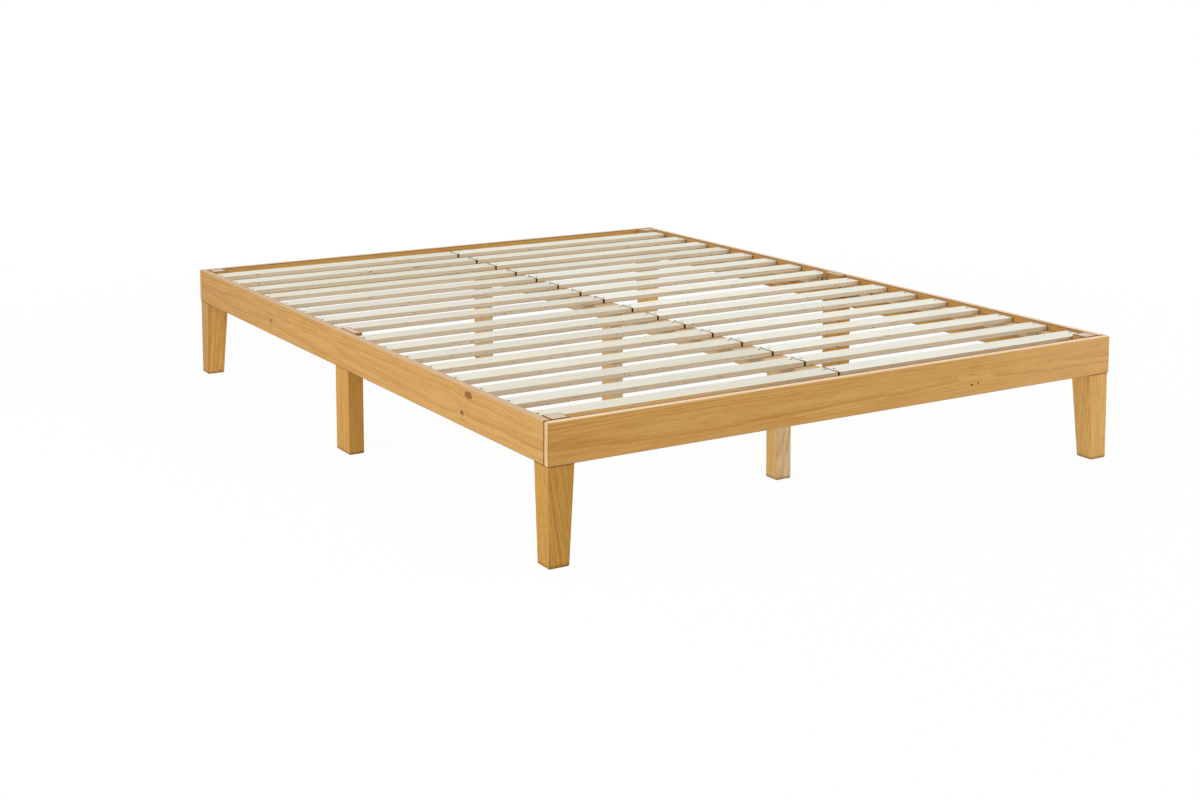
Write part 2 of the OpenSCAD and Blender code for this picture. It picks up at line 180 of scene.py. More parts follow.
def board_axes(along, face):
    """Rows t, u, v of a right-handed set: t is along the board, v out of its face, and u is v cross t."""
    t, v = np.array(AXES[along], float), np.array(AXES[face], float)
    return np.array([t, np.cross(v, t), v])


def box_in(axes, node):
    """A node's box seen in a board's own axes."""
    ends = np.array([axes @ np.array(corner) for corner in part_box(node)])
    return ends.min(0), ends.max(0)


def eased_stations(start, end, ease, inner=()):
    """Stations along a board whose ends are quarter rounds: at angle a the station stands ease * (1 - sin a)
    short of the end and its section is ease * (1 - cos a) smaller all round. Gives place, inset and angle."""
    angle = np.linspace(0.0, math.pi / 2, EASE_STEPS + 1)
    short, inset = ease * (1 - np.sin(angle)), ease * (1 - np.cos(angle))
    inner = np.sort(np.array(inner, float))
    place = np.concatenate([start + short[::-1], inner, end - short])
    return (place, np.concatenate([inset[::-1], 0 * inner, inset]),
            np.concatenate([angle[::-1], 0 * inner, angle]))


def section_rings(place, low, high, radius, angle, lines=()):
    """Rings of points around a board. At each station the section is the rectangle low to high with corners
    of the given radius: corner centre plus radius * (cos a, sin a), a running round once. Extra points stand
    at u = lines on the face v = high. Gives points in board axes, for every point its share of an arris, of
    an end and of a side face, and for every point of a ring its corner, -1 on an extra one. The share of an
    end is sin(angle) * |sin(angle)|, so that an angle below 0 marks a pale end."""
    a = (np.arange(4)[:, None] * 90 + np.linspace(0, 90, ARC + 1)[None, :]).ravel()
    corner = np.repeat(np.arange(4), ARC + 1)
    cos, sin = np.cos(np.radians(a)), np.sin(np.radians(a))
    right, up = np.isin(corner, (0, 3)), np.isin(corner, (0, 1))
    r = radius[:, None]
    u = np.where(right, high[:, :1] - r, low[:, :1] + r) + r * cos
    v = np.where(up, high[:, 1:] - r, low[:, 1:] + r) + r * sin
    arris = np.tile(np.abs(np.sin(np.radians(2 * a))), (len(place), 1))
    side = np.tile(cos * cos, (len(place), 1))
    if len(lines):
        lines = np.sort(np.array(lines, float))[::-1]
        after, flat = [ARC + 1] * len(lines), np.zeros((len(place), len(lines)))
        u = np.insert(u, after, flat + lines, 1)
        v = np.insert(v, after, flat + high[:, 1:], 1)
        arris, side = np.insert(arris, after, 0.0, 1), np.insert(side, after, 0.0, 1)
        corner = np.insert(corner, after, -1)
    t = place[:, None] + 0 * u
    end = (np.sin(angle) * np.abs(np.sin(angle)))[:, None] + 0 * u
    arris = np.maximum(arris * np.cos(angle)[:, None], np.abs(np.sin(2 * angle))[:, None])
    return np.stack([t, u, v], 2), arris, end, side, corner


def ring_quads(rings, points, closed=False):
    """Quads between neighbouring rings, and from the last to the first if closed. They face outwards where
    the points run round like u to v and the rings follow each other along t."""
    i, j = np.meshgrid(np.arange(rings if closed else rings - 1), np.arange(points), indexing="ij")
    n, k = (i + 1) % rings * points, (j + 1) % points
    return np.stack([i * points + j, i * points + k, n + k, n + j], 2)


def new_mesh(name, points, faces, body=BODY):
    """A piece that rides on a body, shaded smooth with its flat faces kept flat."""
    mesh = bpy.data.meshes.new(name)
    mesh.from_pydata(points.tolist(), [], faces)
    mesh.validate()
    mesh.shade_smooth()
    piece = bpy.data.objects.new(name, mesh)
    bpy.context.scene.collection.objects.link(piece)
    weigh = piece.modifiers.new("Flat faces stay flat", "WEIGHTED_NORMAL")
    weigh.mode, weigh.weight, weigh.thresh = "FACE_AREA", 100, 0.001
    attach(piece, body)
    return piece


def store(piece, name, values):
    """Puts one vector per point into the mesh."""
    layer = piece.data.attributes.new(name, "FLOAT_VECTOR", "POINT")
    layer.data.foreach_set("vector", np.ascontiguousarray(values, np.float32).ravel())


class Cut:
    """How a board lies in its log, and how light it is. Chance moves the pith's place from the board's middle
    by up to spread and the tilt of the grain by up to lean. It also makes the board lighter or warmer, by up
    to tone, and shade is painted light: above 0 it paints the board lighter and cooler, and below 0 darker
    and warmer, as painted shade."""

    def __init__(self, node, pith, lean, spread, tone, tilt=(0.0, 0.0), shade=0.0):
        chance = np.random.default_rng(zlib.crc32(node.encode()))
        self.pith = np.array(pith) + chance.uniform(-1, 1, 2) * np.array(spread)
        self.lean = np.array(tilt) + chance.uniform(-lean, lean, 2)
        self.start = chance.uniform(-40.0, 40.0)
        self.tone = chance.uniform(-1, 1) * tone + shade
        self.warm = chance.uniform(-1, 1) * tone - 0.9 * shade

    def place(self, local):
        """Distance along the log, and offset from its pith: the board's own u and v, moved by the pith and by
        the tilt times the distance along."""
        t = local[:, 0]
        return np.column_stack([t + self.start, local[:, 1:] + self.pith + t[:, None] * self.lean])


def board(node, axes, place, low, high, radius, angle, cut, slot, material, weights, lines=(), holes=(),
          shank=0.0, head=0.0, end_mark=1.0):
    """A timber piece that stands for a node. Rings of section_rings are joined by quads and closed by a face
    at each end. Each hole takes out the cells between the lines and its stations, and a patch fills them:
    circles between the square and the hole's rim, then the rim goes down, narrows as a cone and is closed.
    Each point keeps its place in the log and on the board, its tone, and its wear_and_shade: arris * weight,
    above 0 where an edge is rubbed and takes a painted highlight and below 0 where an edge or a hole is
    painted dark as shade, end * end_mark, and side."""
    rings, arris, end, side, corner = section_rings(place, low, high, radius, angle, lines)
    stations, count = rings.shape[:2]
    weight = np.where(corner < 0, 0.0, np.atleast_2d(np.array(weights, float))[:, corner])
    wear_and_shade = np.stack([arris * weight, end * end_mark, side], 2).reshape(-1, 3)
    points, quads = rings.reshape(-1, 3), ring_quads(stations, count)
    keep = np.ones(quads.shape[:2], bool)
    extra_points, extra_wear_and_shade, extra_faces, base = [], [], [], len(points)
    first, cells, sink = ARC + 1, len(lines) - 1, timber().screw_sink
    for t_hole, u_hole, v_top in holes:
        i0 = int(np.argmin(np.abs(place - (t_hole - (max(lines) - min(lines)) / 2))))
        keep[i0:i0 + cells, first:first + cells] = False
        i, j = i0 + np.arange(cells + 1), first + np.arange(cells + 1)
        loop = np.concatenate([i[:-1] * count + j[0], i[-1] * count + j[:-1],
                               i[:0:-1] * count + j[-1], i[0] * count + j[:0:-1]])
        around = points[loop]
        turn = np.arctan2(around[:, 1] - u_hole, around[:, 0] - t_hole)
        # radius, depth below the face, and mark in the arris's place, of the circles down the hole; a mark
        # below 0 paints the rim and the walls dark, as the shade in the hole
        circles = np.array([(head + HOLE_RIM, 0.0, 0.0), (head, HOLE_RIM, -0.9), (head, sink, -1.0),
                            (shank, sink + head - shank, -1.0)])
        reach, depth, mark = circles.T[:, :, None]
        flat = np.zeros((len(circles), len(loop)))
        extra_points.append(np.stack([t_hole + np.cos(turn) * reach, u_hole + np.sin(turn) * reach,
                                      flat + v_top - depth], 2).reshape(-1, 3))
        extra_wear_and_shade.append(np.stack([flat + mark, flat, flat], 2).reshape(-1, 3))
        rows = np.concatenate([loop[None], base + np.arange(flat.size).reshape(flat.shape)])
        after = np.roll(rows, -1, 1)
        extra_faces += np.stack([rows[:-1], rows[1:], after[1:], after[:-1]], 2).reshape(-1, 4).tolist()
        extra_faces.append(rows[-1].tolist()[::-1])
        base += flat.size
    if extra_points:
        points = np.concatenate([points, *extra_points])
        wear_and_shade = np.concatenate([wear_and_shade, *extra_wear_and_shade])
    faces = quads[keep].tolist() + extra_faces
    faces.append(list(range(count))[::-1])
    faces.append([(stations - 1) * count + j for j in range(count)])
    middle = (points.min(0) + points.max(0)) / 2
    piece = new_mesh(node + "_timber", points @ axes, faces)
    store(piece, "log", cut.place(points - middle))
    store(piece, "wear_and_shade", wear_and_shade)
    store(piece, "spot", points - middle)
    store(piece, "tone", np.tile([cut.tone, cut.warm, 0.0], (len(points), 1)))
    piece.data.materials.append(material)
    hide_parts(node)
    return piece


def plain_board(node, along, face, arris, end, cut, slot, material, weights, end_weights=None, stations=(),
                **others):
    """A straight board that fills its node's box. Its arrises have one set of weights along it and another
    around its ends."""
    axes = board_axes(along, face)
    low, high = box_in(axes, node)
    place, inset, angle = eased_stations(low[0], high[0], end, stations)
    radius = np.maximum(arris - inset, 0.15 * arris)
    each = np.where(angle[:, None] > 0, end_weights or weights, weights)
    return board(node, axes, place, low[1:] + inset[:, None], high[1:] - inset[:, None], radius, angle, cut,
                 slot, material, each, **others)


def screwed_board(node, along, face, *rest, screws, shank, head, reach, **others):
    """A straight board with a sunk hole for each of the screw heads that is on it. Shank and head are the
    screw's radii, and reach is half the side of the square that a patch fills around it. The lines across
    that square are at reach * tan a from the hole's middle, for even a, and so cut it into even angles."""
    axes, near = board_axes(along, face), 1.0 * MM
    low, high = box_in(axes, node)
    heads = np.array([axes @ screw for screw in screws])
    own = heads[((heads > low - near) & (heads < high + near)).all(1)]
    if not len(own):
        raise RuntimeError(f"{node} has no screws")
    beside = reach * np.tan(np.linspace(-math.pi / 4, math.pi / 4, HOLE_SIDES // 4 + 1))
    return plain_board(node, along, face, *rest, lines=own[0, 1] + beside,
                       stations=(own[:, :1] + beside).ravel(), holes=[(*h[:2], high[2]) for h in own],
                       shank=shank, head=head + timber().screw_clearance, **others)


# ---- Turned and pressed metal ----

WELD = 0.001 * MM  # corners closer than this are one point


def solids_of(node):
    """The separate solids of a CAD node, each as an array of points. Corners at one place are one point, and
    every point takes the lowest number among its triangles' points until none changes."""
    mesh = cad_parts[node].data
    points = np.empty(3 * len(mesh.vertices), np.float32)
    mesh.vertices.foreach_get("co", points)
    points = points.reshape(-1, 3)
    corners = np.empty(len(mesh.loops), np.int32)
    mesh.loops.foreach_get("vertex_index", corners)
    _, same = np.unique(np.round(points / WELD).astype(np.int64), axis=0, return_inverse=True)
    same = same.ravel()
    triangles = same[corners.reshape(-1, 3)]
    label = np.arange(same.max() + 1)
    while True:
        lowest = label.copy()
        np.minimum.at(lowest, triangles.ravel(), np.repeat(label[triangles].min(1), 3))
        lowest = lowest[lowest]
        if (lowest == label).all():
            break
        label = lowest
    label = label[same]
    return [points[label == one].astype(float) for one in np.unique(label)]


def fasteners(node):
    """The bolts or screws of a CAD node: the ends of their heads, the unit lines from there to their tips,
    and their lengths. The head is the end where a solid is wider."""
    found, skin = [], 0.1 * MM
    for solid in solids_of(node):
        low, high = solid.min(0), solid.max(0)
        axis = int(np.argmax(high - low))
        other = (axis + 1) % 3
        near_low = np.ptp(solid[solid[:, axis] < low[axis] + skin, other])
        near_high = np.ptp(solid[solid[:, axis] > high[axis] - skin, other])
        top, line = (low + high) / 2, np.zeros(3)
        top[axis], line[axis] = (high[axis], -1.0) if near_high > near_low else (low[axis], 1.0)
        found.append((top, line, float((high - low)[axis])))
    return zip(*found)


def across(line):
    """Two unit lines square to a line along an axis, right-handed with it."""
    first = np.roll(np.abs(line), 1)
    return first, np.cross(line, first)


def turned(name, profile, places, lines, sides, closed, material, nodes):
    """Surfaces of revolution, one per place: at station s and angle a the point is place + depth(s) * line
    + radius(s, a) * (cos a, sin a) across the line. The profile's rows are radius and depth in millimetres,
    and a radius that changes with the angle makes a socket or a cross. An open profile is closed by a face at
    each end, and a closed one runs round to its start."""
    radii = np.array([np.broadcast_to(radius, sides) for radius, _ in profile]) * MM
    depths = np.array([depth for _, depth in profile]) * MM
    angle = np.arange(sides) * 2 * math.pi / sides
    stations = len(depths)
    all_points, all_faces = [], []
    # the outside of a profile runs back against its line, so its quads are turned over
    quads = ring_quads(stations, sides, closed)[..., [0, 3, 2, 1]].reshape(-1, 4)
    for number, (place, line) in enumerate(zip(places, lines)):
        e1, e2 = across(line)
        ring = radii[:, :, None] * (np.cos(angle)[:, None] * e1 + np.sin(angle)[:, None] * e2)
        points = place + depths[:, None, None] * line + ring
        base = number * stations * sides
        all_points.append(points.reshape(-1, 3))
        all_faces += (quads + base).tolist()
        if not closed:
            last = base + (stations - 1) * sides
            all_faces += [list(range(base, base + sides)), list(range(last, last + sides))[::-1]]
    piece = new_mesh(name, np.concatenate(all_points), all_faces)
    piece.data.materials.append(material)
    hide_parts(*nodes)
    return piece


def hexagon(corners, sides):
    """Radius of a hexagon at each angle: corners / 2 * cos 30 / cos(angle from the flat's middle)."""
    a = np.arange(sides) * 360.0 / sides
    return corners / 2 * math.cos(math.radians(30)) / np.cos(np.radians(a % 60 - 30))


def cross_slot(reach, half, sides):
    """Radius of a plus sign at each angle: the lesser of reach / cos b and half / sin b, b being the angle to
    the nearest arm."""
    b = np.radians(np.abs((np.arange(sides) * 360.0 / sides + 45) % 90 - 45))
    return np.minimum(reach / np.cos(b), half / np.maximum(np.sin(b), 1e-6))


# ---- Finishes: expressions on a material's sockets ----


def math_node(operation, swapped=False):
    """A method that joins its wire and what it is given in a Math node, in the other order if swapped."""
    def method(self, *others):
        values = (*others, self) if swapped else (self, *others)
        return self.recipe.node("Math", {"operation": operation}, dict(enumerate(values)))
    return method


class Wire:
    """One output of a node. Sums and products of wires add the Math nodes that work them out."""

    __add__, __radd__ = math_node("ADD"), math_node("ADD", True)
    __sub__, __rsub__ = math_node("SUBTRACT"), math_node("SUBTRACT", True)
    __mul__, __rmul__ = math_node("MULTIPLY"), math_node("MULTIPLY", True)
    __truediv__, __rtruediv__ = math_node("DIVIDE"), math_node("DIVIDE", True)
    __pow__ = math_node("POWER")
    most = math_node("MAXIMUM")
    fraction = math_node("FRACT")
    root = math_node("SQRT")
    exponent = math_node("EXPONENT")

    def __init__(self, recipe, socket):
        self.recipe, self.socket = recipe, socket

    def __neg__(self):
        return self * -1.0

    def clamped(self):
        """Held between 0 and 1."""
        return self.recipe.node("Math", {"operation": "ADD", "use_clamp": True}, {0: self, 1: 0.0})

    def rise(self, start, end):
        """0 before start, 1 after end, smooth between; end may be the lower."""
        low, high, a, b = (start, end, 0.0, 1.0) if start < end else (end, start, 1.0, 0.0)
        return self.recipe.node("MapRange", {"interpolation_type": "SMOOTHSTEP"},
                                {"Value": self, "From Min": low, "From Max": high, "To Min": a, "To Max": b})


class Recipe:
    """The nodes of a material or a world in the making."""

    def __init__(self, owner):
        self.owner = owner
        owner.use_nodes = True
        self.tree = owner.node_tree
        self.tree.nodes.clear()

    def node(self, kind, settings=None, values=None, output=0):
        """Adds a node of a type, gives it its settings, then the values or wires of its sockets."""
        node = self.tree.nodes.new("ShaderNode" + kind)
        for key, value in (settings or {}).items():
            setattr(node, key, value)
        for key, value in (values or {}).items():
            if isinstance(value, Wire):
                self.tree.links.new(value.socket, node.inputs[key])
            else:
                node.inputs[key].default_value = value
        return Wire(self, node.outputs[output])

    def attribute(self, name):
        """A vector kept in the mesh."""
        return self.node("Attribute", {"attribute_name": name}, output="Vector")

    def parts(self, vector):
        """The three numbers of a vector."""
        split = self.node("SeparateXYZ", values={0: vector}).socket.node
        return [Wire(self, s) for s in split.outputs]

    def vector(self, x, y, z):
        return self.node("CombineXYZ", values={0: x, 1: y, 2: z})

    def stretched(self, vector, scale):
        return self.node("VectorMath", {"operation": "MULTIPLY"}, {0: vector, 1: scale})

    def noise(self, vector, detail, roughness=0.5):
        """Soft noise from 0 to 1 of a vector that has its scale already."""
        return self.node("TexNoise", {"noise_dimensions": "3D"},
                         {"Vector": vector, "Scale": 1.0, "Detail": detail, "Roughness": roughness})

    def mix(self, factor, first, second, blend="MIX"):
        """Between two colours."""
        full = [c if isinstance(c, Wire) else (*c, 1.0) for c in (first, second)]
        return self.node("Mix", {"data_type": "RGBA", "blend_type": blend, "clamp_factor": True},
                         {0: factor, 6: full[0], 7: full[1]}, output=2)

    def plain_rays(self):
        """1 for the rays that find plain white: from the camera, off gloss or through glass."""
        camera, glossy, through = (self.node("LightPath", output=f"Is {kind} Ray")
                                   for kind in ("Camera", "Glossy", "Transmission"))
        return (camera + glossy + through).clamped()

    def surface(self, values, height, bump, distance):
        """A shader that the recipe ends in, with its bumps."""
        bumps = self.node("Bump", values={"Strength": bump, "Distance": distance, "Height": height})
        return self.ends_in(self.node("BsdfPrincipled", values={**values, "Normal": bumps}))

    def ends_in(self, shader, kind="Material"):
        """Joins a shader to the output, and gives the finished material or world."""
        out = self.tree.nodes.new("ShaderNodeOutput" + kind)
        self.tree.links.new(shader.socket, out.inputs["Surface"])
        return self.owner


def times(first, second):
    """Two colours multiplied channel by channel."""
    return tuple(a * b for a, b in zip(first, second))


# what a colour is multiplied by in painted shade at a joint, gap or hole and on a dark end, in a sawn side's
# streaks, in a fleck and in a short mark
DEEP, STREAK = (0.19, 0.125, 0.06), (0.78, 0.70, 0.60)
FLECK, MARK = (0.50, 0.42, 0.36), (0.4, 0.3, 0.3)
BEND, WAVE = 24.0 * MM, 4.5 * MM            # how far slow and quick noise push a ring line
KNOT_ROUGH = 0.5                            # how uneven a knot's outline is, in knots
CAP_FROM, CAP_TO = 94.0 * MM, 90.0 * MM     # where a post starts to be painted darker below its top, as shade inside the rails
FOOT_REACH = 11.0 * MM                      # how far up a leg its foot is dark
SHADOW_LINE_SOFT = 1.2 * MM                       # how softly a painted shadow line starts
BUMP_WOOD, BUMP_METAL = 0.6 * MM, 0.3 * MM  # depth of the surface's bumps


def wood(name, early, late, wear_and_highlight, side, ring=4.2 * MM, lines=0.35, streak=0.5, cloud=0.5, fleck=0.3,
         tone=0.10, coat=0.0, rough=0.5, shine=0.5, side_share=0.0, flat_share=0.0, end_share=0.95, knots=(),
         dash=0.0, fade=0.0, joint=0.0, cap=None, side_left=None, faces=0.0, foot=0.0):
    """A board's wood, worked out inside its log. The distance from the pith, bent by slow noise, divided by
    the ring width gives the ring lines; noise drawn out along the grain gives streaks, fibres and flecks; a
    knot adds a hump to the distance, so the rings part around it, and has a dark outline and a dark heart.

    Early and late are the colours between and in the ring lines. Wood turns to wear_and_highlight, stain
    thinned by rubbing together with a painted highlight, on its edges, and by flat_share on its flat faces
    as a painted sheen. It turns to side on its sides by side_share, and dark on its ends by end_share, partly
    end grain and partly painted shade in the gaps. Lines, streak, cloud, fleck and tone say how strong each
    difference is, and faces how much lighter the sides are painted, as light falls on them. A knot is its
    place along and up the board, its length and height, how dark it is, and its core's size. dash is the
    strength of short dark marks on the sides, and with it the lower edge of the sides is painted darker as
    shade. fade paints a board paler towards its start, as light falling off along it, and side_left
    is its sides' colour there, a painted reflection. A painted shadow line on the top's inner edge starts at
    u = joint. A leg is darker by its foot, at t = foot, and a post that has a cap, its end grain's colour,
    is painted darker inside the rails, as shade."""
    m = Recipe(bpy.data.materials.new(name))
    log = m.attribute("log")
    _, y, z = m.parts(log)
    arris, end, side_mask = m.parts(m.attribute("wear_and_shade"))
    shade, warm, _ = m.parts(m.attribute("tone"))
    spot_t, spot_u, spot_v = m.parts(m.attribute("spot"))
    deep = times(late, DEEP)

    def drawn(along, over, detail=1.0, roughness=0.5):
        """Noise that changes so many times a metre along the log and across it."""
        return m.noise(m.stretched(log, (along, over, over)), detail, roughness)

    reach = (y * y + z * z).root() + (drawn(1.1, 9.0) - 0.5) * BEND + (drawn(6.0, 40.0, 2.0) - 0.5) * WAVE
    hearts, burns = [], []
    for knot_t, knot_v, long, tall, dark, core in knots:
        q = (((spot_t - knot_t) / long) ** 2.0 + ((spot_v - knot_v) / tall) ** 2.0).root()
        q = q + (drawn(90.0, 90.0) - 0.5) * KNOT_ROUGH
        reach = reach + (q * -0.55).exponent() * (tall * 1.5)
        hearts.append(q.rise(1.15, 0.85) * (0.85 * dark))
        burns.append((q.rise(0.60, 0.90) * q.rise(1.25, 1.0) * 0.35 + q.rise(core, 0.0) * 0.9) * dark)

    even = (m.noise(m.vector(reach * 95.0, 0.0, 3.0), 1.0) - 0.5) * 2.0
    turn = (reach / ring + even).fraction()
    late_wood = turn.rise(0.30, 0.90) * turn.rise(1.0, 0.93)
    broad = drawn(0.9, 34.0, 3.0)
    mottle = drawn(11.0, 30.0, 3.0, 0.6)
    streaks = drawn(5.0, 210.0, 3.0, 0.65)
    fibre = drawn(16.0, 640.0, 2.0, 0.6)
    flecks = drawn(26.0, 480.0).rise(0.62, 0.76)

    late_share = (0.42 + spot_t * fade * 3.0 + (late_wood - 0.45) * lines * broad.rise(0.30, 0.62)
                  + (streaks - 0.5) * 1.6 * streak + (fibre - 0.5) * 0.8 * streak
                  + (mottle - 0.5) * 1.1 * cloud + (broad - 0.5) * 0.9 * cloud).clamped()
    # tone varies at random, and a cut's shade adds painted light to it; faces paints the u faces lighter than
    # the v faces, as light falls on them
    level = 1.0 + shade * tone + (side_mask - 0.5) * faces
    tint = m.vector(level, level - warm * tone * 0.25, level - warm * tone * 0.6)
    base = m.mix(1.0, m.mix(late_share, early, late), tint, "MULTIPLY")
    if side_share:
        # the sides' colour: sawn wood with painted shade and warm bounce light
        side_tint = m.mix((streaks - 0.5) * 1.4 + 0.35, side, times(side, STREAK))
        # painted reflection: towards the start the sides turn to side_left
        if side_left:
            side_tint = m.mix(spot_t.rise(0.34, -0.15), side_tint, side_left)
        base = m.mix(side_mask * side_share, base, side_tint)
    # painted sheen: the flat faces, above all the tops, are painted paler, as they catch the light
    if flat_share:
        base = m.mix((1.0 - side_mask) * flat_share, base, wear_and_highlight)
    base = m.mix(flecks * fleck, base, times(late, FLECK))
    # painted light: the board is painted paler towards its start, as light falling off along it; the same
    # term in late_share makes its grain darker towards its end
    if fade:
        base = m.mix((spot_t * -fade).clamped(), base, wear_and_highlight)
    if dash:
        # painted shade: the lower edge of the sides is darker, as it is in the shade under the board
        base = m.mix(spot_v.rise(-0.0035, -0.0055) * side_mask * 0.35, base, deep)
        mark, crack = drawn(110.0, 400.0).rise(0.708, 0.738), drawn(9.0, 700.0).rise(0.72, 0.76)
        base = m.mix(mark.most(crack) * side_mask * dash, base, times(deep, MARK))
    # the edges turn to wear_and_highlight: stain thinned by rubbing together with a painted highlight
    base = m.mix(arris.most(0.0) * (0.45 + 0.35 * broad), base, wear_and_highlight)
    if foot:
        base = m.mix(spot_t.rise(foot + FOOT_REACH, foot) * 0.5, base, deep)
    # painted shade: the post is darker inside the rails' corner
    if cap:
        base = m.mix(spot_t.rise(-foot - CAP_FROM, -foot - CAP_TO) * 0.25, base, deep)
    # painted shadow along the top's inner edge, for the shade in the gap behind it
    if joint:
        base = m.mix(spot_u.rise(joint, joint - SHADOW_LINE_SOFT) * (1.0 - side_mask) * 0.9, base, deep)
    base = m.mix((-end).most(0.0) * (0.95 if cap else 0.5), base, cap or wear_and_highlight)
    # painted shade: arrises with a weight below 0 and the walls of holes turn dark as the shade in joints,
    # gaps and hollows; ends turn dark by end_share, partly end grain and partly painted shade
    base = m.mix(((-arris).most(0.0) * 0.95 + end.most(0.0) * end_share).clamped(), base, deep)
    if knots:
        base = m.mix(reduce(Wire.most, hearts).clamped(), base, finish().knot)
        base = m.mix(reduce(Wire.most, burns).clamped(), base, deep)
    rough_here = rough + (fibre - 0.5) * 0.16 + end.most(0.0) * 0.15
    return m.surface({"Base Color": base, "Roughness": rough_here, "Coat Weight": coat,
                      "Coat Roughness": 0.35, "IOR": 1.45, "Specular IOR Level": shine},
                     late_wood * 0.35 + fibre * 0.65, 0.22, BUMP_WOOD)


def metal(name, base, rough, grime, spread=0.0, metallic=1.0, shine=0.5):
    """Plated steel: slow noise clouds the colour and roughness, and fine noise gives the plating its tooth.
    Spread is how much of the slow noise the bumps have."""
    m = Recipe(bpy.data.materials.new(name))
    place = m.node("TexCoord", output="Object")
    cloud = m.noise(m.stretched(place, (60.0, 60.0, 60.0)), 3.0)
    tooth = m.noise(m.stretched(place, (260.0, 260.0, 260.0)), 2.0)
    return m.surface({"Base Color": m.mix((cloud - 0.35) * 0.9, base, grime), "Metallic": metallic,
                      "Specular IOR Level": shine, "Roughness": rough + (cloud - 0.5) * 0.25 + tooth * 0.06},
                     tooth + cloud * spread, 0.18, BUMP_METAL)


def made(name, build, *values, **choices):
    """A material by name, made the first time that it is asked for."""
    return bpy.data.materials.get(name) or build(name, *values, **choices)


def stain(name, lift=(1.0, 1.0, 1.0), wear_and_highlight_lift=(1.0, 1.0, 1.0), side=None, **choices):
    """Stained pine. Its colour is the stain's times lift. The colour of its edges, stain thinned by rubbing
    together with a painted highlight, is also times wear_and_highlight_lift.
    """
    c = finish()
    late = times(c.stain_dark, lift)
    return made(name, wood, times(c.stain_light, lift), late, times(c.stain_wear_and_highlight, wear_and_highlight_lift), side or late,
                coat=0.05, rough=0.48, shine=0.10, **{"streak": 0.95, **choices})


def leg_stain(name, lift, faces, height, outline):
    """Each kind of leg is from a board of its own colour, and darker at the floor. Up its post it is painted
    darker as the shade inside the rails, and outline paints a dark rim round the post's top as the shade of
    the gaps beside it.
    """
    return stain(name, lift, ring=6.0 * MM, lines=0.85, fleck=0.45, cap=finish().post_top, faces=faces,
                 foot=-height / 2, end_share=outline)


def slat_pine(first=False):
    """Planed pale pine with sawn sides, whose tan is partly the sawn wood and partly painted shade and warm
    bounce light. The first slat's sides take a painted orange reflection of the foot rail towards its left
    end.
    """
    c = finish()
    name, rail_reflection = ("Planed pale pine, first slat", c.slat_rail_reflection) if first else ("Planed pale pine", None)
    return made(name, wood, c.slat_light, c.slat_dark, c.slat_light, c.slat_sawn_and_shaded, side_left=rail_reflection,
                side_share=0.9, rough=0.62, shine=0.08, tone=0.05, lines=0.4, streak=0.9, cloud=0.7,
                fleck=0.15, dash=0.95, end_share=1.0)


def bearer_pine():
    light, dark = finish().bearer_light, finish().bearer_dark
    return made("Oiled pine bearers", wood, light, dark, light, dark, rough=0.55, shine=0.3)


def bolt_steel():
    return made("Plated bolt steel", metal, finish().bolt, 0.34, (0.18, 0.17, 0.15))


# ---- Operators: one for each kind of piece ----

# a leg's foot: height and inset in chamfers, and angle of easing
FOOT = ((0.0, 1.0, 90), (0.5, 0.45, 45), (1.0, 0.0, 0))
# a post's top: depth below the top and inset in arris radii, and angle of easing, which is below 0 on the
# end;
# the rows at 90 paint a dark rim round the top as the shade of the gaps beside it
POST_TOP = ((1.0, 0.0, 0), (0.6, 0.1, 25), (0.2, 0.45, 60), (0.0, 1.0, 90), (0.0, 1.7, 90), (0.0, 2.4, -90))
SEAM = 0.02 * MM  # height over which a shoulder steps in to its post


def leg_rows(*above):
    """Stations up a leg, its foot's and those above, as columns: height, inset all round, how far the outer
    faces stand in besides, 1 on a post, and angle of easing."""
    chamfer = timber().foot_chamfer
    foot = [(up * chamfer, inward * chamfer, 0, 0, angle) for up, inward, angle in FOOT]
    return np.hsplit(np.array([*foot, *above], float), 5)


def post_rows(height, shoulder, between=()):
    """Columns of leg_rows for a leg that steps in to a post above its shoulder."""
    s, e = timber().shoulder_arris, timber().post_arris
    plain = [(up, 0, 0, 0, 0) for up in (*between, shoulder - 2.5 * s)]
    top = [(height - down * e, inward * e, 0, 1, angle) for down, inward, angle in POST_TOP]
    return leg_rows(*plain, (shoulder - s, 0, 0, 0, 50), (shoulder - 0.3 * s, 0, 0.3 * s, 0, 75),
                    (shoulder, 0, s, 0, 90), (shoulder + SEAM, 0, 0, 1, 0), *top)


def leg(node, axes, rows, low, high, cut, material, weights, post_weight=0.0):
    """A leg from columns of leg_rows and the corners low and high of its sections."""
    z, inset, _, is_post, angle = rows
    radius = np.where(is_post > 0, timber().post_arris, timber().leg_arris) * (1 - 0.5 * (inset > 0))
    # weights below 0 paint the arrises dark; round the shoulder under the rails this is the painted shade of
    # the gap
    board(node, axes, z[:, 0], low, high, radius[:, 0], np.radians(angle[:, 0]), cut, "stained_leg", material,
          np.where(is_post > 0, post_weight, weights))


class Step:
    """What the operators share."""

    bl_options = {"REGISTER", "UNDO"}


